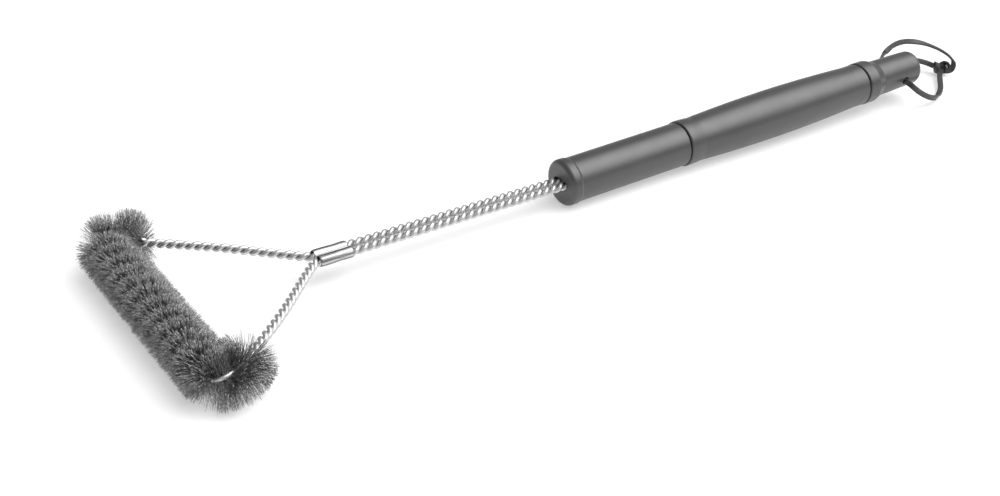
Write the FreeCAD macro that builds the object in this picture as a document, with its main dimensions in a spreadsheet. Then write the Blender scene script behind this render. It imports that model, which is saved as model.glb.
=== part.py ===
"""Grill cleaning brush: a triangular head of twisted wire and bristles on a moulded handle.

Millimetres. +X runs from the head to the tail of the handle, +Y to the far arm, +Z up.
The origin is the middle of the brush's footprint, on the surface that it rests on.
"""
import FreeCAD, Part
import math
import os
import Sketcher
from FreeCAD import Placement, Rotation, Vector

# The driving dimensions: alias, value, meaning. Distances along the tool are measured from
# the handle's mouth, where the two wire legs go in: the head lies one way, the tail the other.
SIZES = [
    ("mouth_x", -11.8, "handle mouth along X"),
    ("mouth_z", 11.72, "handle axis above the rest surface, at the mouth"),
    ("handle_rise", 1.19, "degrees that the handle rises towards its tail"),
    ("head_rise", 0.28, "degrees that the wire frame rises towards its bar"),

    ("wire_diameter", 2.2, "one strand of the core wire"),
    ("leg_offset", 2.9, "centre of a wire leg from the middle plane"),
    ("leg_end", 108.0, "mouth to the buried end of the legs"),
    ("stem_length", 129.6, "mouth to where the arms leave the ferrule"),
    ("exit_radius", 5.0, "bend of an arm as it leaves the ferrule"),
    ("arm_angle", 43.0, "degrees between an arm and the middle plane"),
    ("bar_distance", 203.1, "mouth to the axis of the cross bar"),
    ("corner_radius", 6.5, "bend of the wire at the two corners"),

    ("ferrule_length", 16.0, "crimped double ferrule"),
    ("ferrule_radius", 2.65, "outside of one ferrule barrel"),
    ("web_height", 2.2, "flat between the two barrels"),

    ("bristle_radius", 12.6, "tips of the bristles from the wire"),
    ("arm_bristle_length", 8.0, "bristles along an arm, after the corner"),

    ("collar_radius", 11.5, "rim at the mouth"),
    ("collar_length", 5.0, "rim at the mouth"),
    ("collar_rounding", 2.4, "front edge of the rim"),
    ("shank_start", 6.2, "mouth to the cylinder of the front sleeve"),
    ("shank_radius", 11.0, "front sleeve"),
    ("front_joint", 72.2, "mouth to the joint of front sleeve and grip"),
    ("rear_joint", 196.9, "mouth to the joint of grip and end cap"),
    ("joint_chamfer", 0.25, "edge that opens each joint line"),
    ("front_gap", 0.5, "shadow gap between front sleeve and grip"),
    ("rear_gap", 0.8, "shadow gap between grip and end cap"),
    ("gap_radius", 10.0, "floor of the two shadow gaps"),
    ("ring_length", 4.7, "raised ring of the grip"),
    ("ring_radius", 11.65, "raised ring of the grip"),
    ("ring_rounding", 0.8, "front edges of the two raised rings"),
    ("grip_start", 82.2, "mouth to the start of the grip's swell"),
    ("grip_start_radius", 11.25, "where the swell starts"),
    ("grip_end", 189.4, "mouth to the end of the grip's swell"),
    ("grip_end_radius", 11.15, "where the swell ends"),
    ("grip_swell_radius", 1050.0, "long arc of the swell"),
    ("spigot_radius", 8.0, "spigots and plug inside the grip"),
    ("spigot_length", 12.0, "spigots of front sleeve and end cap"),
    ("spigot_clearance", 0.05, "all round a spigot"),
    ("slot_clearance", 0.3, "all round the wire legs in the front sleeve"),
    ("plug_start", 84.9, "mouth to the anchor plug"),
    ("plug_length", 30.0, "anchor plug moulded on the ends of the legs"),

    ("end_ring_length", 7.5, "raised ring of the end cap"),
    ("end_ring_radius", 11.45, "raised ring of the end cap"),
    ("end_cone", 5.5, "slope behind the ring of the end cap"),
    ("end_waist_radius", 9.7, "foot of that slope"),
    ("end_radius", 9.1, "rear end of the end cap"),
    ("end_rounding", 3.0, "rim of the rear end"),
    ("handle_length", 239.4, "mouth to the rear end"),
    ("core_radius", 5.5, "blind core-out of the end cap"),
    ("core_floor", 214.4, "mouth to the floor of the core-out"),
    ("thong_hole", 226.4, "mouth to the cross hole"),
    ("thong_hole_diameter", 4.4, "cross hole for the thong"),
    ("thong_hole_tilt", 12.0, "degrees that the cross hole drops towards the near side"),

    ("thong_width", 3.0, "flat leather thong"),
    ("knot_length", 9.4, "overhand knot, along X"),
    ("knot_width", 9.0, "overhand knot, along Y"),
    ("knot_height", 7.6, "overhand knot, along Z"),
    ("knot_x", 266.5, "middle of the knot along X, from the origin"),
    ("knot_y", 8.6, "middle of the knot along Y, from the origin"),
    ("knot_z", 4.0, "middle of the knot above the rest surface"),
]

# The routes of the thong, from the origin: out of the hole, round, and into the knot.
NEAR_RUN = [
    (214.5, 0.0, 16.4), (214.5, -12.0, 13.9), (216.6, -16.8, 10.5), (221.3, -19.0, 7.3),
    (227.2, -18.7, 4.6), (232.9, -16.9, 2.7), (238.3, -13.9, 2.2), (245.5, -9.2, 2.4),
    (252.0, -3.0, 2.9), (257.9, 2.8, 3.2), (263.2, 6.9, 3.6),
]
FAR_RUN = [
    (214.5, 0.0, 16.4), (214.5, 10.8, 18.65), (217.0, 11.6, 21.3), (223.3, 13.7, 22.8),
    (232.4, 17.4, 22.9), (243.1, 19.2, 22.1), (253.3, 16.3, 20.2), (261.1, 10.7, 16.9),
    (266.4, 5.8, 13.1), (268.7, 3.1, 9.6), (268.4, 2.3, 6.4), (266.8, 2.6, 3.9), (266.0, 5.5, 3.2),
]
TAIL_RUN = [
    (264.2, 11.2, 4.3), (262.2, 16.6, 5.4), (259.0, 21.8, 6.0), (254.4, 26.2, 5.3),
    (248.8, 29.8, 3.8), (242.8, 32.6, 1.8),
]

doc = FreeCAD.newDocument("grill_brush")


class Size:
    """A length or angle that knows both its value and the sheet expression behind it."""

    def __init__(self, value, text):
        self.value = value
        self.text = text

    def __add__(self, other):
        return combine(self, "+", other)

    def __sub__(self, other):
        return combine(self, "-", other)

    def __mul__(self, other):
        return combine(self, "*", other)

    def __truediv__(self, other):
        return combine(self, "/", other)

    def __neg__(self):
        return Size(-self.value, f"-({self.text})")


ARITHMETIC = {
    "+": lambda a, b: a + b,
    "-": lambda a, b: a - b,
    "*": lambda a, b: a * b,
    "/": lambda a, b: a / b,
}
ZERO = Size(0.0, "0")


def combine(first, sign, second):
    """One Size worked out from two; a plain number counts as a Size."""
    if not isinstance(second, Size):
        second = Size(float(second), repr(float(second)))
    value = ARITHMETIC[sign](first.value, second.value)
    return Size(value, f"({first.text} {sign} {second.text})")


def sine(angle):
    return Size(math.sin(math.radians(angle.value)), f"sin({angle.text})")


def cosine(angle):
    return Size(math.cos(math.radians(angle.value)), f"cos({angle.text})")


def tangent(angle):
    return Size(math.tan(math.radians(angle.value)), f"tan({angle.text})")


def make_sheet():
    """Write the driving dimensions into the spreadsheet; return them by alias."""
    sheet = doc.addObject("Spreadsheet::Sheet", "Dimensions")
    sizes = {}
    for row, (alias, value, meaning) in enumerate(SIZES, start=1):
        sheet.set(f"A{row}", alias)
        sheet.set(f"B{row}", str(value))
        sheet.set(f"C{row}", meaning)
        sheet.setAlias(f"B{row}", alias)
        sizes[alias] = Size(value, f"Dimensions.{alias}")
    doc.recompute()
    return sizes


size = make_sheet()

# Where the corners of the wire triangle come to lie, from the driving dimensions.
corner_turn = size["arm_angle"] + 90
exit_tangent = size["exit_radius"] * tangent(size["arm_angle"] / 2)
corner_tangent = size["corner_radius"] * tangent(corner_turn / 2)
arm_run = size["bar_distance"] - size["stem_length"] - exit_tangent
apex_y = size["leg_offset"] + arm_run * tangent(size["arm_angle"])
corner_x = size["corner_radius"] - size["bar_distance"]
corner_y = apex_y - corner_tangent
rope_radius = size["wire_diameter"]
kink = size["handle_rise"] + size["head_rise"]


def bind(obj, prop, amount):
    """Bind one property to the sheet."""
    obj.setExpression(prop, amount.text)


def place(obj, rise):
    """Stand a sub-part in the frame: at the mouth, pitched by its rise angle."""
    obj.Placement = Placement(Vector(), Rotation(Vector(0, 1, 0), 1))
    bind(obj, "Placement.Base.x", size["mouth_x"])
    bind(obj, "Placement.Base.z", size["mouth_z"])
    bind(obj, "Placement.Rotation.Angle", rise)


def place_on_handle(obj):
    place(obj, -size["handle_rise"])


def place_on_wire(obj):
    place(obj, size["head_rise"])


# Sketches --------------------------------------------------------------------------------

def new_body(name):
    body = doc.addObject("PartDesign::Body", name)
    body.Label = name
    return body


def new_sketch(body, name, plane, base=(ZERO, ZERO, ZERO), axis=None, angle=None):
    """A sketch on one of the body's origin planes, shifted and turned within that plane's frame."""
    sketch = body.newObject("Sketcher::SketchObject", name)
    support = next(item for item in body.Origin.OriginFeatures if item.Role == plane)
    sketch.AttachmentSupport = (support, [""])
    sketch.MapMode = "FlatFace"
    if axis:
        sketch.AttachmentOffset = Placement(Vector(), Rotation(Vector(*axis), 1))
        bind(sketch, "AttachmentOffset.Rotation.Angle", angle)
    for letter, amount in zip("xyz", base):
        if amount is not ZERO:
            bind(sketch, f"AttachmentOffset.Base.{letter}", amount)
    return sketch


def constrain(sketch, kind, *where):
    """Add a constraint; a Size at the end is its value, and is bound to the sheet."""
    if isinstance(where[-1], Size):
        index = sketch.addConstraint(Sketcher.Constraint(kind, *where[:-1], number(kind, where[-1])))
        bind(sketch, f"Constraints[{index}]", where[-1])
    else:
        sketch.addConstraint(Sketcher.Constraint(kind, *where))


def number(kind, amount):
    return math.radians(amount.value) if kind == "Angle" else amount.value


def pin(sketch, curve, end, x, y):
    """Hold one point of a curve at (x, y)."""
    if x is ZERO:
        constrain(sketch, "PointOnObject", curve, end, -2)
    else:
        constrain(sketch, "DistanceX", -1, 1, curve, end, x)
    if y is ZERO:
        constrain(sketch, "PointOnObject", curve, end, -1)
    else:
        constrain(sketch, "DistanceY", -1, 1, curve, end, y)


def add_circle(sketch, x, y, radius):
    centre = Vector(x.value, y.value, 0)
    curve = sketch.addGeometry(Part.Circle(centre, Vector(0, 0, 1), radius.value), False)
    pin(sketch, curve, 3, x, y)
    constrain(sketch, "Radius", curve, radius)
    return curve


def add_outline(sketch, points, arcs=None):
    """A closed outline through (x, y) points; arcs maps a point's index to the radius of
    the arc that bulges outwards from it to the next point."""
    arcs = arcs or {}
    places = [Vector(x.value, y.value, 0) for x, y in points]
    for index, start in enumerate(places):
        end = places[(index + 1) % len(places)]
        if index in arcs:
            edge = bulge(start, end, arcs[index].value)
        else:
            edge = Part.LineSegment(start, end)
        sketch.addGeometry(edge, False)
    for index, (x, y) in enumerate(points):
        before = (index - 1) % len(points)
        here = end_at(sketch, index, places[index])
        constrain(sketch, "Coincident", before, end_at(sketch, before, places[index]), index, here)
        pin(sketch, index, here, x, y)
    for index, radius in arcs.items():
        constrain(sketch, "Radius", index, radius)


def bulge(start, end, radius):
    """The short arc from start to end that stands out to the left of the way there."""
    chord = end - start
    half = chord.Length / 2
    sagitta = radius - math.sqrt(radius ** 2 - half ** 2)
    left = Vector(-chord.y, chord.x, 0).normalize()
    return Part.Arc(start, start + chord / 2 + left * sagitta, end)


def end_at(sketch, curve, place):
    """Which end of a curve, 1 or 2, lies at a place."""
    return 1 if (sketch.getPoint(curve, 1) - place).Length < 1e-6 else 2


# Features --------------------------------------------------------------------------------

def revolve(body, name, sketch, axis, angle=None, backwards=False):
    feature = body.newObject("PartDesign::Revolution", name)
    feature.Profile = sketch
    feature.ReferenceAxis = (sketch, [axis])
    feature.Reversed = backwards
    feature.Angle = 360
    if angle:
        bind(feature, "Angle", angle)
    return feature


def pad(body, name, sketch, length, both_ways=False):
    feature = body.newObject("PartDesign::Pad", name)
    feature.Profile = sketch
    feature.Midplane = both_ways
    bind(feature, "Length", length)
    return feature


def cut_through(body, name, sketch):
    feature = body.newObject("PartDesign::Pocket", name)
    feature.Profile = sketch
    feature.Type = "ThroughAll"
    feature.Midplane = True
    return feature


def cut_forwards(body, name, sketch, length):
    """Cut along the sketch's normal, which is against a pocket's own habit."""
    feature = body.newObject("PartDesign::Pocket", name)
    feature.Profile = sketch
    feature.Reversed = True
    bind(feature, "Length", length)
    return feature


def ring_edge(feature, x, radius):
    """The name of the circular edge about the X axis at x with that radius."""
    for index, edge in enumerate(feature.Shape.Edges, start=1):
        curve = edge.Curve
        if not isinstance(curve, Part.Circle):
            continue
        if abs(curve.Center.x - x.value) < 0.01 and abs(curve.Radius - radius.value) < 0.01:
            return f"Edge{index}"
    raise RuntimeError(f"no circular edge at x {x.value:.2f}, radius {radius.value:.2f}")


def round_ring(body, name, base, x, radius, rounding):
    doc.recompute()
    feature = body.newObject("PartDesign::Fillet", name)
    feature.Base = (base, [ring_edge(base, x, radius)])
    bind(feature, "Radius", rounding)
    return feature


def chamfer_ring(body, name, base, x, radius, width):
    doc.recompute()
    feature = body.newObject("PartDesign::Chamfer", name)
    feature.Base = (base, [ring_edge(base, x, radius)])
    bind(feature, "Size", width)
    return feature


# The wire frame --------------------------------------------------------------------------

def along(angle):
    """The unit vector at an angle, in radians, in the XY plane."""
    return Vector(math.cos(angle), math.sin(angle), 0)


def add_half_route(sketch, side):
    """Leg, bend, arm and corner bend on one side; return the last curve and its end."""
    angle = math.radians(size["arm_angle"].value)
    outward = along(side * (math.pi / 2 - angle))
    leg_start = Vector(size["leg_end"].value, side * size["leg_offset"].value, 0)
    exit_start = Vector(-size["stem_length"].value, leg_start.y, 0)
    exit_centre = exit_start + Vector(0, side * size["exit_radius"].value, 0)
    exit_end = exit_centre - outward * size["exit_radius"].value
    corner = Vector(corner_x.value, side * corner_y.value, 0)
    arm_end = corner + outward * size["corner_radius"].value
    bar_end = corner - Vector(size["corner_radius"].value, 0, 0)
    corner_top = corner + along(side * (math.pi - corner_turn_half())) * size["corner_radius"].value
    exit_mid = exit_centre + (exit_start + exit_end - exit_centre * 2).normalize() * (
        size["exit_radius"].value)
    curves = [
        Part.LineSegment(leg_start, exit_start),
        Part.Arc(exit_start, exit_mid, exit_end),
        Part.LineSegment(exit_end, arm_end),
        Part.Arc(arm_end, corner_top, bar_end),
    ]
    leg, exit_bend, arm, corner_bend = [sketch.addGeometry(curve, False) for curve in curves]
    chain = [(leg, exit_bend, exit_start), (exit_bend, arm, exit_end), (arm, corner_bend, arm_end)]
    for before, after, joint in chain:
        join_smoothly(sketch, before, after, joint)
    pin(sketch, leg, 1, size["leg_end"], size["leg_offset"] * side)
    constrain(sketch, "Horizontal", leg)
    constrain(sketch, "DistanceX", -1, 1, leg, 2, -size["stem_length"])
    constrain(sketch, "Radius", exit_bend, size["exit_radius"])
    constrain(sketch, "Radius", corner_bend, size["corner_radius"])
    pin(sketch, corner_bend, 3, corner_x, corner_y * side)
    return corner_bend, bar_end


def corner_turn_half():
    return math.radians(corner_turn.value) / 2


def join_smoothly(sketch, before, after, joint):
    constrain(sketch, "Tangent", before, end_at(sketch, before, joint),
              after, end_at(sketch, after, joint))


def add_wire_route(sketch):
    """Down one leg, round the triangle and back along the other leg."""
    near_bend, near_end = add_half_route(sketch, -1)
    far_bend, far_end = add_half_route(sketch, 1)
    bar = sketch.addGeometry(Part.LineSegment(near_end, far_end), False)
    join_smoothly(sketch, near_bend, bar, near_end)
    join_smoothly(sketch, bar, far_bend, far_end)


def make_core_wire(name, level):
    """One of the two strands: the real ones twist, these lie one above the other."""
    height = size["wire_diameter"] / 2 * level
    body = new_body(name)
    route = new_sketch(body, f"{name}_route", "XY_Plane", base=(ZERO, ZERO, height))
    add_wire_route(route)
    section = new_sketch(body, f"{name}_section", "YZ_Plane", base=(ZERO, ZERO, size["leg_end"]))
    add_circle(section, -size["leg_offset"], height, size["wire_diameter"] / 2)
    pipe = body.newObject("PartDesign::AdditivePipe", f"{name}_pipe")
    pipe.Profile = section
    pipe.Spine = route
    place_on_wire(body)
    return body


def make_ferrule():
    """Two barrels joined by a web, crimped on the legs where the arms part."""
    barrels = []
    bores = []
    for word, side in (("near", -1), ("far", 1)):
        offset = size["leg_offset"] * side
        barrels.append(make_barrel(f"ferrule_barrel_{word}", size["ferrule_radius"], offset))
        bores.append(make_barrel(f"ferrule_bore_{word}", rope_radius, offset))
    web = doc.addObject("Part::Box", "ferrule_web")
    bind(web, "Length", size["ferrule_length"])
    bind(web, "Width", size["leg_offset"] * 2)
    bind(web, "Height", size["web_height"])
    bind(web, "Placement.Base.x", -size["stem_length"])
    bind(web, "Placement.Base.y", -size["leg_offset"])
    bind(web, "Placement.Base.z", -size["web_height"] / 2)
    outside = doc.addObject("Part::MultiFuse", "ferrule_outside")
    outside.Shapes = barrels + [web]
    inside = doc.addObject("Part::MultiFuse", "ferrule_inside")
    inside.Shapes = bores
    ferrule = doc.addObject("Part::Cut", "crimp_ferrule")
    ferrule.Base = outside
    ferrule.Tool = inside
    ferrule.Label = "crimp_ferrule"
    place_on_wire(ferrule)
    return ferrule


def make_barrel(name, radius, offset):
    barrel = doc.addObject("Part::Cylinder", name)
    barrel.Placement = Placement(Vector(), Rotation(Vector(0, 1, 0), 90))
    bind(barrel, "Radius", radius)
    bind(barrel, "Height", size["ferrule_length"])
    bind(barrel, "Placement.Base.x", -size["stem_length"])
    bind(barrel, "Placement.Base.y", offset)
    return barrel


# The bristles: closed sleeves of the shape that the filament tips make -----------------------

def cut_mitre(body, side, inner_x, inner_y):
    """Cut a sleeve back to the plane that halves the corner, inside the bend.

    inner_x and inner_y lead from the bend's centre to the sleeve's inner side, square to
    the sleeve and one corner radius away."""
    centre_y = corner_y * side
    mitre = new_sketch(body, f"{body.Name}_mitre_{'far' if side > 0 else 'near'}", "XY_Plane")
    add_outline(mitre, [
        (corner_x, centre_y),
        (corner_x + inner_x, centre_y + inner_y),
        (corner_x + size["corner_radius"], centre_y - corner_tangent * side),
    ])
    cut_through(body, f"{mitre.Name}_cut", mitre)


def make_bar_bristles():
    body = new_body("bristles_bar")
    section = new_sketch(body, "bar_section", "XZ_Plane")
    add_circle(section, -size["bar_distance"], ZERO, size["bristle_radius"])
    add_circle(section, -size["bar_distance"], ZERO, rope_radius)
    pad(body, "bar_sleeve", section, corner_y * 2, both_ways=True)
    for side in (-1, 1):
        cut_mitre(body, side, size["corner_radius"], size["corner_radius"] * 0)
    place_on_wire(body)
    return body


def make_arm_bristles(word, side):
    """The short sleeve on an arm, from the end of the corner bend."""
    sin_arm = sine(size["arm_angle"])
    cos_arm = cosine(size["arm_angle"])
    start_x = corner_x + size["corner_radius"] * sin_arm
    start_y = (corner_y + size["corner_radius"] * cos_arm) * side
    body = new_body(f"bristles_arm_{word}")
    section = new_sketch(body, f"arm_section_{word}", "YZ_Plane", base=(start_y, ZERO, start_x),
                         axis=(0, 1, 0), angle=-size["arm_angle"] * side)
    add_circle(section, ZERO, ZERO, size["bristle_radius"])
    add_circle(section, ZERO, ZERO, rope_radius)
    pad(body, f"arm_sleeve_{word}", section, size["arm_bristle_length"])
    cut_mitre(body, side, -size["corner_radius"] * sin_arm, -size["corner_radius"] * cos_arm * side)
    place_on_wire(body)
    return body


def make_corner_bristles(word, side):
    """The fan of bristles round a corner: the sleeve's section turned about the bend's
    centre, and flat where it reaches that centre."""
    body = new_body(f"bristles_corner_{word}")
    section = new_sketch(body, f"corner_section_{word}", "XZ_Plane",
                         base=(corner_x, ZERO, -corner_y * side))
    radius = size["bristle_radius"].value
    middle = -size["corner_radius"].value
    reach = math.sqrt(radius ** 2 - middle ** 2)
    top = Vector(0, reach, 0)
    bottom = Vector(0, -reach, 0)
    rim = section.addGeometry(Part.Arc(top, Vector(middle - radius, 0, 0), bottom), False)
    flat = section.addGeometry(Part.LineSegment(bottom, top), False)
    constrain(section, "Coincident", rim, end_at(section, rim, bottom), flat, 1)
    constrain(section, "Coincident", rim, end_at(section, rim, top), flat, 2)
    constrain(section, "PointOnObject", flat, 1, -2)
    constrain(section, "PointOnObject", flat, 2, -2)
    constrain(section, "Radius", rim, size["bristle_radius"])
    pin(section, rim, 3, -size["corner_radius"], ZERO)
    add_circle(section, -size["corner_radius"], ZERO, rope_radius)
    revolve(body, f"corner_fan_{word}", section, "V_Axis", corner_turn, backwards=side > 0)
    place_on_wire(body)
    return body


# The handle ------------------------------------------------------------------------------

def make_front_sleeve():
    """Collar, shank and rear spigot, with a slot that lets the two legs through."""
    body = new_body("front_sleeve")
    outline = new_sketch(body, "front_outline", "XY_Plane")
    spigot_end = size["front_joint"] + size["spigot_length"]
    add_outline(outline, [
        (ZERO, ZERO),
        (ZERO, size["collar_radius"]),
        (size["collar_length"], size["collar_radius"]),
        (size["shank_start"], size["shank_radius"]),
        (size["front_joint"], size["shank_radius"]),
        (size["front_joint"], size["spigot_radius"]),
        (spigot_end, size["spigot_radius"]),
        (spigot_end, ZERO),
    ])
    solid = revolve(body, "front_solid", outline, "H_Axis")
    rim = round_ring(body, "front_rim", solid, ZERO, size["collar_radius"], size["collar_rounding"])
    chamfer_ring(body, "front_chamfer", rim, size["front_joint"], size["shank_radius"],
                 size["joint_chamfer"])
    slot = new_sketch(body, "leg_slot", "YZ_Plane", axis=(1, 0, 0), angle=kink)
    add_slot(slot, size["leg_offset"], rope_radius + size["slot_clearance"])
    cut_through(body, "leg_slot_cut", slot)
    place_on_handle(body)
    return body


def add_slot(sketch, reach, radius):
    """A slot across the sketch, with round ends centred at plus and minus reach."""
    half = reach.value
    high = radius.value
    ends = {}
    for side in (-1, 1):
        top = Vector(side * half, high, 0)
        tip = Vector(side * (half + high), 0, 0)
        bottom = Vector(side * half, -high, 0)
        ends[side] = sketch.addGeometry(Part.Arc(top, tip, bottom), False)
        pin(sketch, ends[side], 3, reach * side, ZERO)
        constrain(sketch, "Radius", ends[side], radius)
    for level in (-high, high):
        left = Vector(-half, level, 0)
        right = Vector(half, level, 0)
        line = sketch.addGeometry(Part.LineSegment(left, right), False)
        join_smoothly(sketch, ends[-1], line, left)
        join_smoothly(sketch, line, ends[1], right)


def make_grip_sleeve():
    body = new_body("grip_sleeve")
    outline = new_sketch(body, "grip_outline", "XY_Plane")
    bore = size["spigot_radius"] + size["spigot_clearance"]
    swell = 5
    ring_start = size["front_joint"] + size["front_gap"]
    add_outline(outline, [
        (size["front_joint"], bore),
        (size["front_joint"], size["gap_radius"]),
        (ring_start, size["gap_radius"]),
        (ring_start, size["ring_radius"]),
        (size["front_joint"] + size["ring_length"], size["ring_radius"]),
        (size["grip_start"], size["grip_start_radius"]),
        (size["grip_end"], size["grip_end_radius"]),
        (size["rear_joint"], size["grip_end_radius"]),
        (size["rear_joint"], bore),
    ], arcs={swell: size["grip_swell_radius"]})
    solid = revolve(body, "grip_solid", outline, "H_Axis")
    ring = round_ring(body, "grip_ring", solid, ring_start, size["ring_radius"],
                      size["ring_rounding"])
    chamfer_ring(body, "grip_chamfer", ring, size["rear_joint"], size["grip_end_radius"],
                 size["joint_chamfer"])
    place_on_handle(body)
    return body


def make_anchor_plug():
    """The plug moulded on the ends of the legs, which the grip closes over."""
    body = new_body("anchor_plug")
    section = new_sketch(body, "plug_section", "YZ_Plane", base=(ZERO, ZERO, size["plug_start"]))
    add_circle(section, ZERO, ZERO, size["spigot_radius"])
    pad(body, "plug_solid", section, size["plug_length"])
    bores = new_sketch(body, "plug_bores", "YZ_Plane", axis=(1, 0, 0), angle=kink)
    for side in (-1, 1):
        add_circle(bores, size["leg_offset"] * side, ZERO, rope_radius)
    cut_forwards(body, "plug_bores_cut", bores, size["leg_end"])
    place_on_handle(body)
    return body


def make_end_cap():
    body = new_body("end_cap")
    outline = new_sketch(body, "cap_outline", "XY_Plane")
    spigot_start = size["rear_joint"] - size["spigot_length"]
    ring_start = size["rear_joint"] + size["rear_gap"]
    ring_end = size["rear_joint"] + size["end_ring_length"]
    add_outline(outline, [
        (spigot_start, size["core_radius"]),
        (spigot_start, size["spigot_radius"]),
        (size["rear_joint"], size["spigot_radius"]),
        (size["rear_joint"], size["gap_radius"]),
        (ring_start, size["gap_radius"]),
        (ring_start, size["end_ring_radius"]),
        (ring_end, size["end_ring_radius"]),
        (ring_end + size["end_cone"], size["end_waist_radius"]),
        (size["handle_length"], size["end_radius"]),
        (size["handle_length"], ZERO),
        (size["core_floor"], ZERO),
        (size["core_floor"], size["core_radius"]),
    ])
    solid = revolve(body, "cap_solid", outline, "H_Axis")
    ring = round_ring(body, "cap_ring", solid, ring_start, size["end_ring_radius"],
                      size["ring_rounding"])
    round_ring(body, "cap_end", ring, size["handle_length"], size["end_radius"], size["end_rounding"])
    hole = new_sketch(body, "thong_hole", "XZ_Plane", axis=(1, 0, 0), angle=size["thong_hole_tilt"])
    add_circle(hole, size["thong_hole"], ZERO, size["thong_hole_diameter"] / 2)
    cut_through(body, "thong_hole_cut", hole)
    place_on_handle(body)
    return body


# The leather thong -----------------------------------------------------------------------

def rounded_path(name, points):
    """Straight runs joined by tangent arcs, each as large as its two runs allow."""
    places = [Vector(*point) for point in points]
    edges = []
    radii = []
    start = places[0]
    for before, corner, after in zip(places, places[1:], places[2:]):
        arriving = corner - before
        leaving = after - corner
        trim = 0.45 * min(arriving.Length, leaving.Length)
        turn = arriving.getAngle(leaving)
        radius = trim / math.tan(turn / 2)
        arriving.normalize()
        leaving.normalize()
        arc_start = corner - arriving * trim
        arc_end = corner + leaving * trim
        inward = (leaving - arriving).normalize()
        arc_mid = corner + inward * (radius / math.cos(turn / 2) - radius)
        edges.append(Part.LineSegment(start, arc_start).toShape())
        edges.append(Part.Arc(arc_start, arc_mid, arc_end).toShape())
        radii.append(radius)
        start = arc_end
    edges.append(Part.LineSegment(start, places[-1]).toShape())
    path = Part.Wire(edges)
    listed = ", ".join(f"{radius:.1f}" for radius in radii)
    print(f"{name}: length {path.Length:.1f} mm, bend radii {listed}")
    return path


def make_thong_run(name, points):
    """A round tube of the thong's width along its route."""
    radius = size["thong_width"].value / 2
    path = rounded_path(name, points)
    heading = Vector(*points[1]) - Vector(*points[0])
    section = Part.Wire(Part.Circle(Vector(*points[0]), heading, radius).toShape())
    run = doc.addObject("Part::Feature", name)
    run.Label = name
    run.Shape = path.makePipeShell([section], True, False)
    run.Placement = Placement()
    expected = math.pi * radius ** 2 * path.Length
    if abs(run.Shape.Volume / expected - 1) > 0.01:
        raise RuntimeError(f"{name}: volume {run.Shape.Volume:.1f}, expected {expected:.1f}")
    return run


def make_knot():
    knot = doc.addObject("Part::Ellipsoid", "thong_knot")
    knot.Label = "thong_knot"
    knot.Angle1 = -90
    knot.Angle2 = 90
    bind(knot, "Radius1", size["knot_height"] / 2)
    bind(knot, "Radius2", size["knot_length"] / 2)
    bind(knot, "Radius3", size["knot_width"] / 2)
    bind(knot, "Placement.Base.x", size["knot_x"])
    bind(knot, "Placement.Base.y", size["knot_y"])
    bind(knot, "Placement.Base.z", size["knot_z"])
    return knot


# Build, check and write --------------------------------------------------------------------

def make_all():
    return [
        make_core_wire("core_wire_upper", 1),
        make_core_wire("core_wire_lower", -1),
        make_ferrule(),
        make_bar_bristles(),
        make_corner_bristles("near", -1),
        make_corner_bristles("far", 1),
        make_arm_bristles("near", -1),
        make_arm_bristles("far", 1),
        make_front_sleeve(),
        make_grip_sleeve(),
        make_anchor_plug(),
        make_end_cap(),
        make_thong_run("thong_near_run", NEAR_RUN),
        make_thong_run("thong_far_run", FAR_RUN),
        make_knot(),
        make_thong_run("thong_tail", TAIL_RUN),
    ]


def check(parts):
    """Stop if any object failed, or any sub-part has no valid solid."""
    failed = [item.Name for item in doc.Objects if {"Invalid", "Error"} & set(item.State)]
    if failed:
        raise RuntimeError(f"failed objects: {failed}")
    for part in parts:
        if part.Shape.isNull() or not part.Shape.isValid() or not part.Shape.Solids:
            raise RuntimeError(f"{part.Label} has no valid solid")


def report(parts):
    for part in parts:
        box = part.Shape.BoundBox
        print(f"{part.Label}: {part.Shape.Volume:.0f} mm3, x {box.XMin:.1f} to {box.XMax:.1f}, "
              f"y {box.YMin:.1f} to {box.YMax:.1f}, z {box.ZMin:.2f} to {box.ZMax:.2f}")


parts = make_all()
doc.recompute()
check(parts)
report(parts)
os.makedirs("parts", exist_ok=True)
for part in parts:
    part.Shape.exportStep(f"parts/{part.Label}.step")
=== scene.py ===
"""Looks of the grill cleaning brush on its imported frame.

Metres, +X from the head to the tail of the handle, +Y to the far arm, +Z up.
"""
import math

import bpy
import numpy as np
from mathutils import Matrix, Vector


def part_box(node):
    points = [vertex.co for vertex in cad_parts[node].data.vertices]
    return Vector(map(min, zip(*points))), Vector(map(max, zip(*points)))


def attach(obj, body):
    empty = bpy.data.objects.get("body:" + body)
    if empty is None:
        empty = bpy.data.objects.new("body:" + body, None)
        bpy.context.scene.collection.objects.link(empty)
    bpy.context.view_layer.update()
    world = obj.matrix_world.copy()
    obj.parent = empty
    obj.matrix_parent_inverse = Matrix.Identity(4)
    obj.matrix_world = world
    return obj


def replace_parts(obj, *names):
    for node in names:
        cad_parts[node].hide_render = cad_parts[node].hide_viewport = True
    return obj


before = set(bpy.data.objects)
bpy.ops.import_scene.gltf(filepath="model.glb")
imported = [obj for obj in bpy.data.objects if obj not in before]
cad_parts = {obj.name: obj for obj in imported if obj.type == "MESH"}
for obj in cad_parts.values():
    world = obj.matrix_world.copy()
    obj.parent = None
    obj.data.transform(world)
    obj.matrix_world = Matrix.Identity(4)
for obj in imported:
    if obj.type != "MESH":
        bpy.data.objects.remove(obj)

MM = 0.001
TURN = 2 * math.pi
ALONG_X = np.array([1.0, 0.0, 0.0])
UP = np.array([0.0, 0.0, 1.0])
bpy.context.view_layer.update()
CHANCE = np.random.default_rng(11)


# Camera ----------------------------------------------------------------------------------

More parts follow.
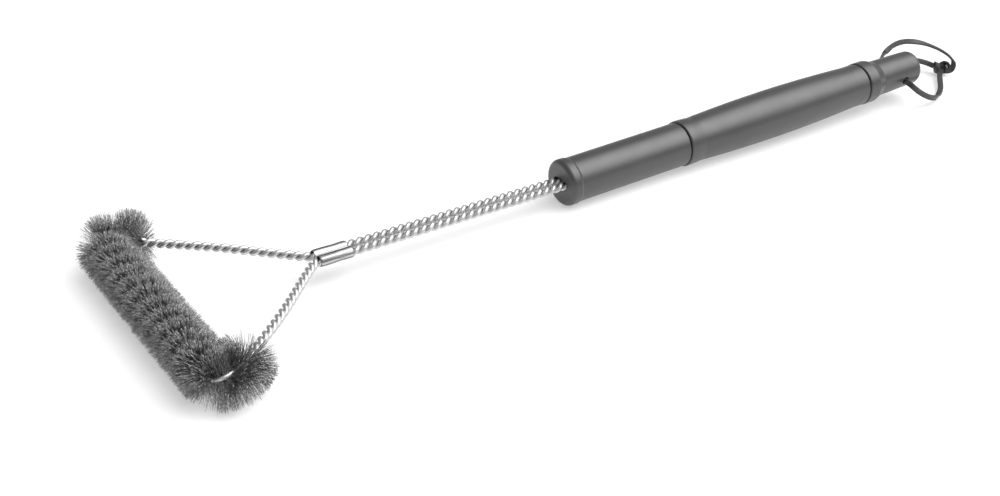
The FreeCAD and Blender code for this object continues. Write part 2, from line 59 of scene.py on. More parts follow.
CAMERA_AZIMUTH = math.radians(-33.64)
CAMERA_ELEVATION = math.radians(29.85)
CAMERA_DISTANCE = 635.9 * MM
CAMERA_AIM = Vector((-58.3, -18.3, 0.0)) * MM
CAMERA_LENS = 50.4
SENSOR_WIDTH = 36.0


def make_camera():
    """A camera on a line back from its aim, held level."""
    data = bpy.data.cameras.new("camera")
    data.lens = CAMERA_LENS
    data.sensor_width = SENSOR_WIDTH
    camera = bpy.data.objects.new("camera", data)
    bpy.context.scene.collection.objects.link(camera)
    level = math.cos(CAMERA_ELEVATION)
    back = Vector((math.sin(CAMERA_AZIMUTH) * level,
                   -math.cos(CAMERA_AZIMUTH) * level,
                   math.sin(CAMERA_ELEVATION)))
    camera.location = CAMERA_AIM + back * CAMERA_DISTANCE
    camera.rotation_mode = "QUATERNION"
    camera.rotation_quaternion = (-back).to_track_quat("-Z", "Y")
    bpy.context.scene.camera = camera


make_camera()


# Materials -------------------------------------------------------------------------------

def new_material(name):
    """A material, its node tree and its Principled shader."""
    material = bpy.data.materials.new(name)
    material.use_nodes = True
    tree = material.node_tree
    shader = next(node for node in tree.nodes if node.type == "BSDF_PRINCIPLED")
    return material, tree, shader


def noise(tree, scale, detail=3.0, stretch=(1, 1, 1)):
    """Noise in object space; stretch above 1 packs it closer along that axis."""
    place = tree.nodes.new("ShaderNodeTexCoord")
    mapping = tree.nodes.new("ShaderNodeMapping")
    mapping.inputs["Scale"].default_value = stretch
    texture = tree.nodes.new("ShaderNodeTexNoise")
    texture.inputs["Scale"].default_value = scale
    texture.inputs["Detail"].default_value = detail
    tree.links.new(place.outputs["Object"], mapping.inputs["Vector"])
    tree.links.new(mapping.outputs["Vector"], texture.inputs["Vector"])
    return texture.outputs["Fac"]


def remap(tree, value, low, high, start=0.3, stop=0.7):
    """A number that runs from low to high while value runs from start to stop."""
    node = tree.nodes.new("ShaderNodeMapRange")
    node.inputs["From Min"].default_value = start
    node.inputs["From Max"].default_value = stop
    node.inputs["To Min"].default_value = low
    node.inputs["To Max"].default_value = high
    tree.links.new(value, node.inputs["Value"])
    return node.outputs["Result"]


def ramp(tree, value, stops):
    """A grey ramp through (place, grey) stops, or a coloured one through (place, colour)."""
    node = tree.nodes.new("ShaderNodeValToRGB")
    marks = node.color_ramp.elements
    while len(marks) < len(stops):
        marks.new(0.5)
    for mark, (place, colour) in zip(marks, stops):
        mark.position = place
        grey = isinstance(colour, float)
        mark.color = (colour, colour, colour, 1) if grey else (*colour, 1)
    tree.links.new(value, node.inputs["Fac"])
    return node.outputs["Color"]


def add_bump(tree, shader, heights, distance, strength=1.0):
    """Bumps from several height maps, one on another."""
    normal = None
    for height in heights:
        node = tree.nodes.new("ShaderNodeBump")
        node.inputs["Strength"].default_value = strength
        node.inputs["Distance"].default_value = distance
        tree.links.new(height, node.inputs["Height"])
        if normal:
            tree.links.new(normal, node.inputs["Normal"])
        normal = node.outputs["Normal"]
    tree.links.new(normal, shader.inputs["Normal"])


def steel_wire():
    """Bright drawn stainless wire: fine marks and slightly uneven gloss."""
    material, tree, shader = new_material("steel_wire")
    shader.inputs["Metallic"].default_value = 1.0
    colour = ramp(tree, noise(tree, 900, 4), [(0.3, 0.50), (0.7, 0.64)])
    tree.links.new(colour, shader.inputs["Base Color"])
    tree.links.new(remap(tree, noise(tree, 600), 0.36, 0.48), shader.inputs["Roughness"])
    add_bump(tree, shader, [noise(tree, 2500, 2)], 0.02 * MM)
    return material


def ferrule_metal():
    """Nickel-bright crimped sleeve, streaked lengthwise by the die; in its colour the streaks are also
    painted reflection bands.
    """
    material, tree, shader = new_material("ferrule_metal")
    shader.inputs["Metallic"].default_value = 1.0
    die_streaks_and_painted_reflections = noise(tree, 260, 5, stretch=(0.12, 5, 5))
    # Colour from the lengthwise streaks: die marks, and painted reflection bands standing in for the
    # light bars a bright tube mirrors.
    colour = ramp(tree, die_streaks_and_painted_reflections, [(0.38, 0.12), (0.5, 0.3), (0.62, 0.52)])
    tree.links.new(colour, shader.inputs["Base Color"])
    tree.links.new(remap(tree, die_streaks_and_painted_reflections, 0.16, 0.32), shader.inputs["Roughness"])
    add_bump(tree, shader, [die_streaks_and_painted_reflections, noise(tree, 500)], 0.05 * MM)
    return material


def bristle_steel():
    """Dull grey filaments, each a little lighter or darker than the next."""
    material, tree, shader = new_material("bristle_steel")
    shader.inputs["Metallic"].default_value = 0.9
    colour = ramp(tree, noise(tree, 1400, 2), [(0.35, 0.13), (0.52, 0.26), (0.68, 0.64)])
    tree.links.new(colour, shader.inputs["Base Color"])
    tree.links.new(remap(tree, noise(tree, 800), 0.30, 0.5), shader.inputs["Roughness"])
    return material


def handle_plastic():
    """Satin moulded plastic: faint mottling, soft uneven gloss, a fine spark-eroded grain."""
    material, tree, shader = new_material("handle_plastic")
    colour = ramp(tree, noise(tree, 60, 5), [(0.3, 0.028), (0.7, 0.038)])
    tree.links.new(colour, shader.inputs["Base Color"])
    shader.inputs["Specular IOR Level"].default_value = 0.85
    tree.links.new(remap(tree, noise(tree, 140, 4), 0.34, 0.41), shader.inputs["Roughness"])
    grain = noise(tree, 3200, 2)
    rings = noise(tree, 900, 1, stretch=(1.6, 0.02, 0.02))
    add_bump(tree, shader, [grain, rings], 0.012 * MM)
    return material


def plug_plastic():
    """Plain moulded plastic of the hidden plug."""
    material, tree, shader = new_material("plug_plastic")
    colour = ramp(tree, noise(tree, 80), [(0.3, 0.14), (0.7, 0.2)])
    tree.links.new(colour, shader.inputs["Base Color"])
    tree.links.new(remap(tree, noise(tree, 200), 0.5, 0.6), shader.inputs["Roughness"])
    return material


def thong_leather():
    """Waxed dark leather lace: pores, creases across it and rubbed high spots."""
    material, tree, shader = new_material("thong_leather")
    wear = noise(tree, 420, 5)
    worn = [(0.3, (0.022, 0.022, 0.022)), (0.62, (0.045, 0.044, 0.043)), (0.75, (0.090, 0.088, 0.086))]
    tree.links.new(ramp(tree, wear, worn), shader.inputs["Base Color"])
    tree.links.new(remap(tree, wear, 0.42, 0.62), shader.inputs["Roughness"])
    add_bump(tree, shader, [noise(tree, 1500, 4), noise(tree, 380, 2)], 0.08 * MM, 0.7)
    return material


def cut_leather():
    """The pale raw face of a cut end."""
    material, tree, shader = new_material("cut_leather")
    colour = ramp(tree, noise(tree, 2500, 4), [(0.3, (0.16, 0.15, 0.14)), (0.7, (0.34, 0.32, 0.3))])
    tree.links.new(colour, shader.inputs["Base Color"])
    shader.inputs["Roughness"].default_value = 0.85
    return material


STEEL_WIRE = steel_wire()
FERRULE_METAL = ferrule_metal()
BRISTLE_STEEL = bristle_steel()
HANDLE_PLASTIC = handle_plastic()
PLUG_PLASTIC = plug_plastic()
THONG_LEATHER = thong_leather()
CUT_LEATHER = cut_leather()


# Mesh helpers ----------------------------------------------------------------------------

def unit(vectors):
    """The vectors at length one."""
    return vectors / np.linalg.norm(vectors, axis=-1, keepdims=True)


def make_piece(name, points, faces, materials, face_material=None):
    """A smooth-shaded mesh piece that rides with the brush."""
    mesh = bpy.data.meshes.new(name)
    mesh.from_pydata(points, [], faces)
    for material in materials:
        mesh.materials.append(material)
    mesh.polygons.foreach_set("use_smooth", [True] * len(mesh.polygons))
    if face_material is not None:
        mesh.polygons.foreach_set("material_index", face_material)
    mesh.validate()
    piece = bpy.data.objects.new(name, mesh)
    bpy.context.scene.collection.objects.link(piece)
    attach(piece, "root")
    return piece


def tube_faces(rings, sides, looped=False):
    """Quads between successive rings of a swept outline."""
    faces = []
    for ring in range(rings if looped else rings - 1):
        here = ring * sides
        there = ((ring + 1) % rings) * sides
        for side in range(sides):
            after = (side + 1) % sides
            faces.append((here + side, here + after, there + after, there + side))
    return faces


def end_faces(rings, sides):
    """The two end caps of a swept outline."""
    last = (rings - 1) * sides
    return [tuple(range(sides - 1, -1, -1)), tuple(range(last, last + sides))]


def sweep(line, across, over, outline):
    """Points of an outline (u, v) carried along a line, u along across and v along over."""
    u = outline[:, 0][None, :, None]
    v = outline[:, 1][None, :, None]
    return (line[:, None, :] + across[:, None, :] * u + over[:, None, :] * v).reshape(-1, 3)


def square_to(heading, vectors):
    """The part of each vector that is square to its heading, at length one."""
    return unit(vectors - heading * np.sum(vectors * heading, axis=1, keepdims=True))


def headings(line):
    """Which way a line runs at each of its points."""
    return unit(np.gradient(line, axis=0))


def circle(radius, sides):
    """The outline of a round wire."""
    angles = np.arange(sides) / sides * TURN
    return np.stack([np.cos(angles), np.sin(angles)], axis=1) * radius


def reach_along(line):
    """How far along a line each of its points is."""
    return np.concatenate([[0], np.cumsum(np.linalg.norm(np.diff(line, axis=0), axis=1))])


def read_along(places, reach, values):
    """Values kept at each reach of a line, read at any places along it."""
    return np.stack([np.interp(places, reach, values[:, axis]) for axis in range(3)], axis=1)


def resample(line, step):
    """Points a step apart along a line, and how far along each one is."""
    reach = reach_along(line)
    count = int(round(reach[-1] / step)) + 1
    places = np.linspace(0, reach[-1], count)
    return read_along(places, reach, line), places


# The leather thong -----------------------------------------------------------------------

THONG_WIDTH = 3.0 * MM
THONG_THICKNESS = 1.25 * MM
THONG_ROUNDING = 0.3 * MM
THONG_STEP = 0.5 * MM

# Control points of the runs in millimetres, and which way the lace's width lies along each.
NEAR_RUN = [
    (214.5, 0.0, 16.4), (214.5, -12.0, 13.9), (216.6, -16.8, 10.5), (221.3, -19.0, 7.3),
    (227.2, -18.7, 4.6), (232.9, -16.9, 2.7), (238.3, -13.9, 2.2), (245.5, -9.2, 2.4),
    (252.0, -3.0, 2.9), (257.9, 2.8, 3.2), (263.2, 6.9, 3.6),
]
NEAR_WIDTH_LIES = [
    (0.2, 0, 1), (0.3, 0.3, 1), (0.3, 0.4, 0.9), (0.3, 0.4, 0.9), (0.3, 0.4, 0.9), (0.6, -0.1, 0.6),
    (0.8, -0.6, 0.1), (0.8, -0.6, 0), (0.8, -0.6, 0), (0.8, -0.6, 0), (0.8, -0.6, 0),
]
FAR_RUN = [
    (214.5, 0.0, 16.4), (214.5, 10.8, 18.65), (217.0, 11.6, 21.3), (223.3, 13.7, 22.8),
    (232.4, 17.4, 22.9), (243.1, 19.2, 22.1), (253.3, 16.3, 20.2), (261.1, 10.7, 16.9),
    (266.4, 5.8, 13.1), (268.7, 3.1, 9.6), (268.4, 2.3, 6.4), (266.8, 2.6, 3.9), (266.0, 5.5, 3.2),
]
FAR_WIDTH_LIES = [
    (0.5, 0.7, -0.5), (0.5, 0.7, -0.5), (0.5, 0.7, -0.4), (0.4, 0.5, 0.4), (0, 0.1, 1), (0, 0.2, 1),
    (0.1, 0.4, 0.9), (0.4, 0.7, 0.6), (0.6, 0.8, 0.1), (0.5, 0.8, 0), (0.3, 0.9, 0.2), (0, 0.8, 0.6),
    (-0.3, 0.2, 0.9),
]
TAIL_RUN = [
    (264.2, 11.2, 4.3), (262.2, 16.6, 5.4), (259.0, 21.8, 6.0), (254.4, 26.2, 5.3),
    (248.8, 29.8, 3.8), (242.8, 32.6, 1.8),
]
TAIL_WIDTH_LIES = [
    (0.6, 0.2, 0.8), (0.7, 0.3, 0.6), (0.7, 0.4, 0.5), (0.6, 0.7, 0.3), (0.5, 0.8, 0.1), (0.5, 0.9, 0),
]


def smooth_line(route):
    """The NURBS line of a route in millimetres, as points in metres."""
    curve = bpy.data.curves.new("route", "CURVE")
    curve.dimensions = "3D"
    curve.resolution_u = 16
    spline = curve.splines.new("NURBS")
    spline.points.add(len(route) - 1)
    for point, place in zip(spline.points, route):
        point.co = (*(Vector(place) * MM), 1)
    spline.order_u = 3
    spline.use_endpoint_u = True
    holder = bpy.data.objects.new("route", curve)
    mesh = bpy.data.meshes.new_from_object(holder)
    line = np.array([vertex.co for vertex in mesh.vertices])
    bpy.data.objects.remove(holder)
    bpy.data.meshes.remove(mesh)
    return line


def lace_outline():
    """A flat lace's section: a rectangle with rounded corners."""
    half_width = THONG_WIDTH / 2
    half_thick = THONG_THICKNESS / 2
    points = []
    for corner in range(4):
        sign_u = 1 if corner in (0, 3) else -1
        sign_v = 1 if corner in (0, 1) else -1
        for part in range(4):
            angle = (corner + part / 3) * TURN / 4
            points.append((sign_u * (half_width - THONG_ROUNDING) + THONG_ROUNDING * math.cos(angle),
                           sign_v * (half_thick - THONG_ROUNDING) + THONG_ROUNDING * math.sin(angle)))
    return np.array(points)


def lace_mesh(line, width_lies):
    """Points and faces of a lace along a line, its width lying as given from end to end."""
    outline = lace_outline()
    heading = headings(line)
    stations = np.linspace(0, 1, len(width_lies))
    share = np.linspace(0, 1, len(line))
    wide = square_to(heading, read_along(share, stations, np.array(width_lies, float)))
    thick = np.cross(heading, wide)
    points = sweep(line, wide, thick, outline)
    return points, tube_faces(len(line), len(outline)), end_faces(len(line), len(outline))


def make_lace(name, node, route, width_lies):
    """One run of the thong, with pale cut ends, and the line that it follows."""
    line, _ = resample(smooth_line(route), THONG_STEP)
    points, faces, ends = lace_mesh(line, width_lies)
    index = [0] * len(faces) + [1] * len(ends)
    lace = make_piece(name, points, faces + ends, [THONG_LEATHER, CUT_LEATHER], index)
    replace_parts(lace, node)
    return lace, line


TO_RIGHT = np.array([0.832, -0.554, 0.0])
TO_FRONT = np.array([-0.481, -0.722, 0.498])
TO_TOP = np.cross(TO_FRONT, TO_RIGHT)
FILLER_WIDTH = 2.2 * MM
FILLER_SHARES = np.linspace(-1.0, 1.0, 7)[:, None]


def knot_place(start, right=0.0, front=0.0, top=0.0):
    """A place some millimetres to the right, the front and the top of another in the knot."""
    return start + (TO_RIGHT * right + TO_FRONT * front + TO_TOP * top) * MM


def oval_band(middle, first, second, wide, first_reach, second_reach, width):
    """A closed turn of lace: an oval through two directions, its width along a third."""
    angles = np.linspace(0, TURN, 64, endpoint=False)
    line = (middle + first * first_reach * np.cos(angles)[:, None]
            + second * second_reach * np.sin(angles)[:, None])
    outward = unit(first * np.cos(angles)[:, None] + second * np.sin(angles)[:, None])
    across = np.broadcast_to(wide, line.shape)
    outline = lace_outline() * np.array([width / THONG_WIDTH, 1.0])
    return sweep(line, across, outward, outline), tube_faces(len(line), len(outline), looped=True)


def short_lace(line, wide, width):
    """A straight bit of lace with cut ends."""
    heading = headings(line)
    across = np.broadcast_to(wide, line.shape)
    outline = lace_outline() * np.array([width / THONG_WIDTH, 1.0])
    points = sweep(line, across, np.cross(heading, across), outline)
    return points, tube_faces(len(line), len(outline)), end_faces(len(line), len(outline))


def knot_bands(middle, ring_middle, wrap_middle):
    """The closed turns of lace: a ring on end, a wrap round its left and a core."""
    wrap_wide = unit(TO_RIGHT - TO_TOP * 0.4)
    return [
        oval_band(ring_middle, TO_RIGHT, TO_TOP, TO_FRONT, 3.0 * MM, 3.0 * MM, 3.0 * MM),
        oval_band(wrap_middle, TO_TOP, TO_FRONT, wrap_wide, 2.7 * MM, 2.2 * MM, 2.6 * MM),
        oval_band(knot_place(middle, front=-0.6), TO_RIGHT, TO_TOP, TO_FRONT, 1.9 * MM, 1.7 * MM,
                  2.4 * MM),
    ]


def knot_laces(middle, ring_middle, wrap_middle):
    """The straight bits of lace that close the knot, as (middle, half length, how the width lies)."""
    stub_middle = knot_place(ring_middle, right=1.1, top=0.2)
    return [
        (knot_place(middle, top=0.9, front=-0.8), TO_RIGHT * 3.9, TO_FRONT),
        (knot_place(middle, top=-0.9, front=-0.8), TO_RIGHT * 3.9, TO_FRONT),
        (knot_place(middle, front=-1.2), TO_RIGHT * 3.9, TO_TOP),
        (knot_place(ring_middle, front=-0.9), TO_TOP * 2.4, TO_RIGHT),
        (knot_place(ring_middle, front=-0.9, right=2.0), TO_TOP * 1.8, TO_RIGHT),
        (wrap_middle, TO_RIGHT * 1.6, TO_TOP),
        (stub_middle, TO_FRONT * 1.4, unit(TO_TOP - TO_RIGHT * 0.3)),
    ]


def make_knot():
    """An overhand knot: a turn of lace on end, a wrap round its left, and the cut stub between."""
    low, high = (np.array(corner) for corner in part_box("thong_knot"))
    middle = (low + high) / 2
    ring_middle = knot_place(middle, right=1.1, top=0.3)
    wrap_middle = knot_place(middle, right=-3.1)
    parts = [(*band, []) for band in knot_bands(middle, ring_middle, wrap_middle)]
    for place, half_length, wide in knot_laces(middle, ring_middle, wrap_middle):
        parts.append(short_lace(place + half_length * MM * FILLER_SHARES, wide, FILLER_WIDTH))
    points = np.zeros((0, 3))
    faces = []
    index = []
    for part_points, part_faces, ends in parts:
        faces += [tuple(len(points) + corner for corner in face) for face in part_faces + ends]
        index += [0] * len(part_faces) + [1] * len(ends)
        points = np.concatenate([points, part_points])
    knot = make_piece("knot", points, faces, [THONG_LEATHER, CUT_LEATHER], index)
    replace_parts(knot, "thong_knot")
    return knot


def make_thong():
    """The two runs from the cross hole to the knot, and the tail that comes out of the knot."""
    knot = make_knot()
    runs = [
        ("lace_near", "thong_near_run", NEAR_RUN, NEAR_WIDTH_LIES, 1, "knot"),
        ("lace_far", "thong_far_run", FAR_RUN, FAR_WIDTH_LIES, 1, "knot"),
        ("lace_tail", "thong_tail", TAIL_RUN, TAIL_WIDTH_LIES, 0, "bare"),
    ]
    for name, node, route, width_lies, exit_point, far_end in runs:
        lace, line = make_lace(name, node, route, width_lies)


make_thong()


# The twisted wire ------------------------------------------------------------------------

WIRE_RADIUS = 1.1 * MM
FERRULE_BARREL = 2.65 * MM
EXIT_RADIUS = 5.0 * MM
ARM_ANGLE = math.radians(43.0)
ARM_BOW = 1.2 * MM
OPEN_LAY = 8.4 * MM
BRISTLE_LAY = 20.0 * MM
BARE_STRAND_ANGLE = math.radians(30)
WIRE_STEP = 0.35 * MM
ARM_BRISTLES = 8.0 * MM

bar_low, bar_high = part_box("bristles_bar")
corner_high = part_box("bristles_corner_far")[1]
ferrule_low, ferrule_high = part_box("crimp_ferrule")
BAR_X = (bar_low.x + bar_high.x) / 2
BAR_Z = (bar_low.z + bar_high.z) / 2
BRISTLE_RADIUS = (bar_high.z - bar_low.z) / 2
CORNER_Y = bar_high.y
CORNER_RADIUS = corner_high.y - CORNER_Y - BRISTLE_RADIUS
LEG_OFFSET = ferrule_high.y - FERRULE_BARREL
LEG_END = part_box("core_wire_upper")[1].x
FERRULE_X = (ferrule_low.x + ferrule_high.x) / 2
FERRULE_Z = (ferrule_low.z + ferrule_high.z) / 2
PLANE_SLOPE = (FERRULE_Z - BAR_Z) / (FERRULE_X - BAR_X)


def in_wire_plane(x, y):
    """Points of the gently pitched plane that the wire frame is bent in."""
    return np.stack([x, y, BAR_Z + (x - BAR_X) * PLANE_SLOPE], axis=-1)


def arc(centre, radius, start, stop, count=40):
    """Points of a flat arc."""
    angles = np.linspace(start, stop, count)
    return np.stack([centre[0] + radius * np.cos(angles), centre[1] + radius * np.sin(angles)], axis=1)


def near_route():
    """The near half of the rope's middle line, and how far along it the bristles' parts start."""
    quarter = math.pi / 2
    outward = np.array([math.sin(ARM_ANGLE), -math.cos(ARM_ANGLE)])
    leg_start = np.array([[LEG_END, -LEG_OFFSET]])
    exit_centre = (ferrule_low.x, -LEG_OFFSET - EXIT_RADIUS)
    exit_bend = arc(exit_centre, EXIT_RADIUS, quarter, quarter + ARM_ANGLE)
    corner = arc((BAR_X + CORNER_RADIUS, -CORNER_Y), CORNER_RADIUS, ARM_ANGLE - quarter, -math.pi)
    share = np.linspace(0, 1, 60)[1:-1, None]
    bow = ARM_BOW * np.sin(math.pi * share) ** 2
    arm = exit_bend[-1] + (corner[0] - exit_bend[-1]) * share + outward * bow
    flat = np.concatenate([leg_start, exit_bend, arm, corner, [[BAR_X, 0.0]]])
    reach = reach_along(flat)
    bar_start = reach[-2]
    corner_start = reach[-1 - len(corner)]
    return flat, corner_start, bar_start


near_half, CORNER_START, BAR_START = near_route()
far_half = near_half[-2::-1] * np.array([1, -1])
flat_line = np.concatenate([near_half, far_half])
ROPE_LINE, ROPE_REACH = resample(in_wire_plane(flat_line[:, 0], flat_line[:, 1]), WIRE_STEP)
ROPE_LENGTH = ROPE_REACH[-1]
ROPE_HEADING = headings(ROPE_LINE)
PLANE_NORMAL = unit(np.array([-PLANE_SLOPE, 0.0, 1.0]))
ROPE_SIDE = unit(np.cross(PLANE_NORMAL, ROPE_HEADING))
ROPE_TOP = np.cross(ROPE_HEADING, ROPE_SIDE)


def twist_along():
    """The strands' turn about the rope: left-hand, slow in the bristles, set by the near corner."""
    start = CORNER_START - ARM_BRISTLES
    gripped = (ROPE_REACH > start) & (ROPE_REACH < ROPE_LENGTH - start)
    lay = np.where(gripped, BRISTLE_LAY, OPEN_LAY)
    turns = np.concatenate([[0], np.cumsum(np.diff(ROPE_REACH) / lay[1:])])
    twist = -TURN * turns
    at_corner = np.interp((CORNER_START + BAR_START) / 2, ROPE_REACH, twist)
    return twist - at_corner + BARE_STRAND_ANGLE


ROPE_TWIST = twist_along()


def make_strand(name, phase, node):
    """One wire of the twisted pair, from end to end."""
    angle = (ROPE_TWIST + phase)[:, None]
    offset = ROPE_SIDE * np.cos(angle) + ROPE_TOP * np.sin(angle)
    line = ROPE_LINE + offset * WIRE_RADIUS
    heading = headings(line)
    across = square_to(heading, offset)
    over = np.cross(heading, across)
    outline = circle(WIRE_RADIUS, 12)
    points = sweep(line, across, over, outline)
    faces = tube_faces(len(line), len(outline)) + end_faces(len(line), len(outline))
    strand = make_piece(name, points, faces, [STEEL_WIRE])
    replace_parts(strand, node)


def make_ropes():
    """Both wires, half a turn apart."""
    make_strand("strand_a", 0.0, "core_wire_upper")
    make_strand("strand_b", math.pi, "core_wire_lower")


make_ropes()


# The ferrule -----------------------------------------------------------------------------

FERRULE_WALL = 0.42 * MM
FERRULE_WEB = 1.0 * MM
FERRULE_INNER_WEB = 0.25 * MM
CRIMP_DEPTH = 0.03
CRIMP_PLACE = 0.62
CRIMP_SPREAD = 0.16
RIM_DEPTH = 0.05
RIM_SPREAD = 0.03


def double_barrel(radius, web, angles):
    """How far the joined outline of two barrels lies from the ferrule's middle, by angle."""
    cos = np.abs(np.cos(angles))
    sin = np.abs(np.sin(angles))
    hit = np.maximum(radius ** 2 - (LEG_OFFSET * sin) ** 2, 0)
    barrel = np.where(LEG_OFFSET * sin < radius, LEG_OFFSET * cos + np.sqrt(hit), 0)
    flat = web / np.maximum(sin, 0.25)
    return np.maximum(barrel, np.where(sin > 0.8, flat, 0))


def make_ferrule():
    """Two barrels pressed together, pinched by the crimp and rounded off at the rims."""
    angles = np.arange(96) / 96 * TURN
    outer = double_barrel(FERRULE_BARREL, FERRULE_WEB, angles)
    inner = double_barrel(FERRULE_BARREL - FERRULE_WALL, FERRULE_INNER_WEB, angles)
    length = ferrule_high.x - ferrule_low.x
    rings = []
    for share in np.linspace(0, 1, 49):
        rim = math.exp(-(share / RIM_SPREAD) ** 2) + math.exp(-((1 - share) / RIM_SPREAD) ** 2)
        crimp = math.exp(-((share - CRIMP_PLACE) / CRIMP_SPREAD) ** 2)
        narrowing = CRIMP_DEPTH * crimp + RIM_DEPTH * rim
        rings.append((ferrule_low.x + length * share, outer * (1 - narrowing)))
    for share in (0.996, 0.9, 0.5, 0.1, 0.004):
        rings.append((ferrule_low.x + length * share, inner))
    across = np.array([0.0, 1.0, 0.0])
    points = []
    for x, reach in rings:
        middle = in_wire_plane(np.array(x), np.array(0.0))
        points.append(middle + across * (reach * np.cos(angles))[:, None]
                      + UP * (reach * np.sin(angles))[:, None])
    faces = tube_faces(len(rings), len(angles), looped=True)
    ferrule = make_piece("ferrule", np.concatenate(points), faces, [FERRULE_METAL])
    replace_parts(ferrule, "crimp_ferrule")


make_ferrule()


# The bristles ----------------------------------------------------------------------------

FILAMENT_RADIUS = 0.07 * MM
FILAMENTS_PER_MM = 125
FIN_SPREAD = 0.6
LEAN = 0.09
MEAN_REACH = 0.94
MOST_REACH = 1.03
TIP_SCATTER = 0.045
TIP_DRIFT = 0.3 * MM
NEAR_SPLAY = 0.08
FAR_SPLAY = 0.19
FLOOR_CLEARANCE = 0.25 * MM
FLOOR_SPREAD = 1.5
FILAMENT_STATIONS = np.array([0.06, 0.4, 0.75, 1.0])
FILAMENT_SIDES = 3
BAR_PIECES = 4


def filament_lines(start, stop):
    """The middle lines of the filaments gripped between two places along the rope."""
    count = int((stop - start) / MM * FILAMENTS_PER_MM)
    reach = CHANCE.uniform(start, stop, count)
    centre = read_along(reach, ROPE_REACH, ROPE_LINE)
    heading = unit(read_along(reach, ROPE_REACH, ROPE_HEADING))
    side = unit(read_along(reach, ROPE_REACH, ROPE_SIDE))
    top = np.cross(heading, side)
    fin = np.interp(reach, ROPE_REACH, ROPE_TWIST) + math.pi / 2
    half = CHANCE.integers(0, 2, count) * math.pi
    angle = (fin + half + CHANCE.normal(0, FIN_SPREAD, count))[:, None]
    lean = CHANCE.normal(0, LEAN, count)[:, None]
    direction = unit(side * np.cos(angle) + top * np.sin(angle) + heading * lean)
    bend = (BAR_START - np.minimum(reach, ROPE_LENGTH - reach)) / (BAR_START - CORNER_START)
    splay = np.where(reach > ROPE_LENGTH / 2, FAR_SPLAY, NEAR_SPLAY)
    splay = 1 + splay * np.clip(bend * 2, 0, 1)
    tips = np.minimum(CHANCE.normal(MEAN_REACH, TIP_SCATTER, count), MOST_REACH)
    length = (BRISTLE_RADIUS * tips * splay)[:, None]
    drift = CHANCE.normal(0, TIP_DRIFT, (count, 3))
    drift -= direction * np.sum(drift * direction, axis=1, keepdims=True)
    stations = FILAMENT_STATIONS[None, :, None]
    lines = centre[:, None] + direction[:, None] * length[:, None] * stations
    lines = lines + drift[:, None] * stations ** 2
    return splay_on_floor(lines, direction), direction


def splay_on_floor(lines, direction):
    """Filaments that would go through the floor spread out along it instead."""
    sunk = np.maximum(FLOOR_CLEARANCE - lines[:, :, 2], 0)
    level = direction * np.array([1, 1, 0])
    level = level / np.maximum(np.linalg.norm(level, axis=1, keepdims=True), 0.2)
    lines = lines + level[:, None] * sunk[:, :, None] * FLOOR_SPREAD
    lines[:, :, 2] += sunk
    return lines


def make_bristles(name, start, stop):
    """One piece of thin three-sided filaments, closed at their tips."""
    lines, direction = filament_lines(start, stop)
    count, stations = lines.shape[:2]
    helper = np.where(np.abs(direction[:, 2:3]) < 0.8, UP, ALONG_X)
    across = unit(np.cross(direction, helper))
    over = np.cross(direction, across)
    outline = circle(FILAMENT_RADIUS, FILAMENT_SIDES)
    ring = across[:, None, :] * outline[None, :, :1] + over[:, None, :] * outline[None, :, 1:]
    points = (lines[:, :, None, :] + ring[:, None, :, :]).reshape(-1, 3)
    pattern = np.array(tube_faces(stations, FILAMENT_SIDES))
    tips = (stations - 1) * FILAMENT_SIDES + np.arange(FILAMENT_SIDES)
    bases = np.arange(count) * stations * FILAMENT_SIDES
    faces = (pattern[None] + bases[:, None, None]).reshape(-1, 4).tolist()
    faces += (tips[None] + bases[:, None]).tolist()
    return make_piece(name, points, faces, [BRISTLE_STEEL])


def make_all_bristles():
    """One piece for each closed sleeve of the frame, and four for the long one on the bar."""
    arm_start = CORNER_START - ARM_BRISTLES
    far_bar_end = ROPE_LENGTH - BAR_START
    far_corner_end = ROPE_LENGTH - CORNER_START
    parts = [
        ("filaments_arm_near", "bristles_arm_near", arm_start, CORNER_START),
        ("filaments_corner_near", "bristles_corner_near", CORNER_START, BAR_START),
    ]
    bar_stops = np.linspace(BAR_START, far_bar_end, BAR_PIECES + 1)
    for index, (start, stop) in enumerate(zip(bar_stops, bar_stops[1:])):
        parts.append((f"filaments_bar_{index + 1}", "bristles_bar", start, stop))
    parts.append(("filaments_corner_far", "bristles_corner_far", far_bar_end, far_corner_end))
    parts.append(("filaments_arm_far", "bristles_arm_far", far_corner_end, ROPE_LENGTH - arm_start))
    for name, node, start, stop in parts:
        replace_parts(make_bristles(name, start, stop), node)


make_all_bristles()


# The handle ------------------------------------------------------------------------------

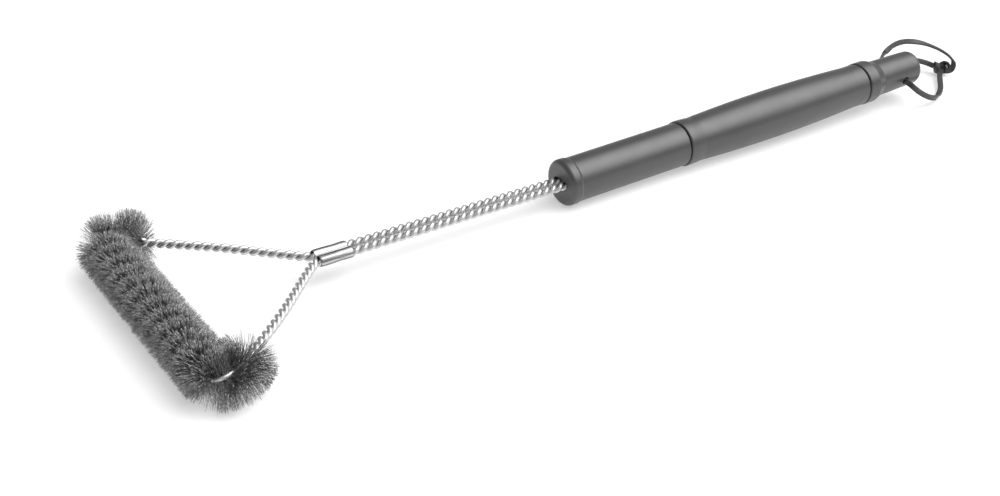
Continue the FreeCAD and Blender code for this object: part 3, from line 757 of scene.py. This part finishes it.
def finish_handle():
    """The handle's own solids, in moulded plastic."""
    finishes = {
        "front_sleeve": HANDLE_PLASTIC,
        "grip_sleeve": HANDLE_PLASTIC,
        "end_cap": HANDLE_PLASTIC,
        "anchor_plug": PLUG_PLASTIC,
    }
    for node, material in finishes.items():
        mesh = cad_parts[node].data
        mesh.materials.clear()
        mesh.materials.append(material)


finish_handle()


# Floor and light -------------------------------------------------------------------------

FLOOR_HALF = 4.0
FLOOR_GLOW = 0.42
LIGHT_HEADING = (0.42, -0.33, 0.84)
ROOM_GLOW = 0.42
SOFTBOX_GLOW = 5.0
SOFTBOX_EDGE = 0.72


def make_floor():
    """Pale paper lit a little from within, which keeps the shadows as light as in a product shot."""
    corners = [(x * FLOOR_HALF, y * FLOOR_HALF, 0) for x, y in ((-1, -1), (1, -1), (1, 1), (-1, 1))]
    mesh = bpy.data.meshes.new("floor")
    mesh.from_pydata(corners, [], [(0, 1, 2, 3)])
    material, tree, shader = new_material("floor_paper")
    tree.links.new(ramp(tree, noise(tree, 3), [(0.3, 0.60), (0.7, 0.62)]), shader.inputs["Base Color"])
    shader.inputs["Emission Color"].default_value = (1, 1, 1, 1)
    shader.inputs["Emission Strength"].default_value = FLOOR_GLOW
    shader.inputs["Roughness"].default_value = 0.9
    shader.inputs["Specular IOR Level"].default_value = 0.1
    mesh.materials.append(material)
    floor = bpy.data.objects.new("floor", mesh)
    bpy.context.scene.collection.objects.link(floor)


def make_room():
    """A dim studio under one large softbox, far enough off to light the floor evenly."""
    world = bpy.data.worlds.new("studio")
    world.use_nodes = True
    tree = world.node_tree
    background = next(node for node in tree.nodes if node.type == "BACKGROUND")
    place = tree.nodes.new("ShaderNodeTexCoord")
    facing = tree.nodes.new("ShaderNodeVectorMath")
    facing.operation = "DOT_PRODUCT"
    facing.inputs[1].default_value = Vector(LIGHT_HEADING).normalized()
    tree.links.new(place.outputs["Generated"], facing.inputs[0])
    glow = remap(tree, facing.outputs["Value"], ROOM_GLOW, SOFTBOX_GLOW, SOFTBOX_EDGE, 1.0)
    tree.links.new(glow, background.inputs["Strength"])
    background.inputs["Color"].default_value = (1, 1, 1, 1)
    bpy.context.scene.world = world
    bpy.context.scene.view_settings.view_transform = "Standard"


make_floor()
make_room()
